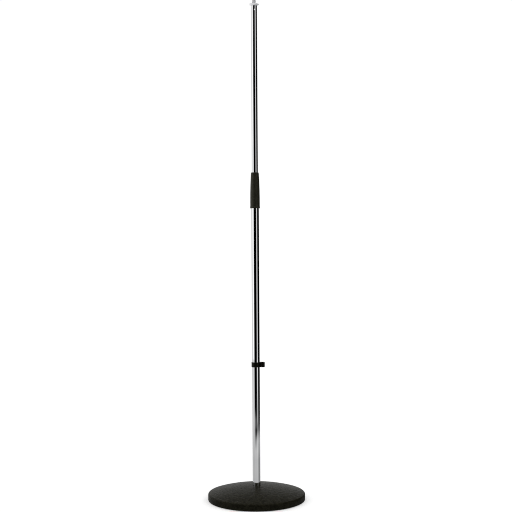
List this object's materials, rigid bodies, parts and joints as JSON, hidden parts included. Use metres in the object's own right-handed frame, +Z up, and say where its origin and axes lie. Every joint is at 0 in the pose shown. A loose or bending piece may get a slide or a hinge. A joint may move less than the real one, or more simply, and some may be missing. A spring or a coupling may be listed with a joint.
{
  "type": "microphone stand",
  "caption": "Straight telescopic microphone stand on a heavy round base, with a twist clutch that locks its height, a cable clip and a threaded stud on a flange at the top.",
  "frame": {"origin": "on the floor under the middle of the round base", "axes": "+Z up along the tube; -Y is the front; the clip's cable hook is on the +X side"},
  "size_m": [0.25, 0.25, 1.2904],
  "materials": {
    "textured_black": "matte",
    "black_rubber": "matte",
    "zinc_steel": "satin",
    "chrome": "polished",
    "black_nylon": "satin",
    "white_acetal": "satin",
    "brass": "satin",
    "black_felt": "matte"
  },
  "bodies": {
    "stand": {"base_casting": "textured_black", "noise_ring": "black_rubber", "base_bolt": "zinc_steel", "spring_washer": "zinc_steel", "flat_washer": "zinc_steel", "foot_plug": "zinc_steel", "lower_tube": "chrome", "clutch_nipple": "brass", "nipple_pin_front": "zinc_steel", "nipple_pin_back": "zinc_steel", "clamp_collet": "white_acetal"},
    "clamp": {"clamp_cone": "zinc_steel", "thrust_washer": "white_acetal"},
    "grip": {"clutch_grip": "black_nylon", "wiper_ring": "black_felt"},
    "clip": {"cable_clip": "black_nylon"},
    "guide": {"guide_ring": "white_acetal"},
    "rod": {"upper_rod": "chrome", "rod_end_plug": "black_nylon", "thread_insert": "zinc_steel", "thread_stud": "zinc_steel"}
  },
  "joints": [
    {"name": "clamp_travel", "type": "slide", "parent": "stand", "child": "clamp", "axis": [0, 0, 1], "range_m": [0, 0.0015]},
    {"name": "grip_turn", "type": "hinge", "parent": "clamp", "child": "grip", "pos_m": [0, 0, 0.7516], "axis": [0, 0, 1], "range_deg": [0, 270]},
    {"name": "clip_slide", "type": "slide", "parent": "stand", "child": "clip", "axis": [0, 0, 1], "range_m": [-0.3, 0.395]},
    {"name": "rod_slide", "type": "slide", "parent": "stand", "child": "guide", "axis": [0, 0, 1], "range_m": [-0.428, 0.274]},
    {"name": "rod_turn", "type": "hinge", "parent": "guide", "child": "rod", "pos_m": [0, 0, 0.4707], "axis": [0, 0, 1], "continuous": true}
  ],
  "couplings": [
    {"joint": "clamp_travel", "follows": "grip_turn", "m_per_rad": 0.000318}
  ]
}
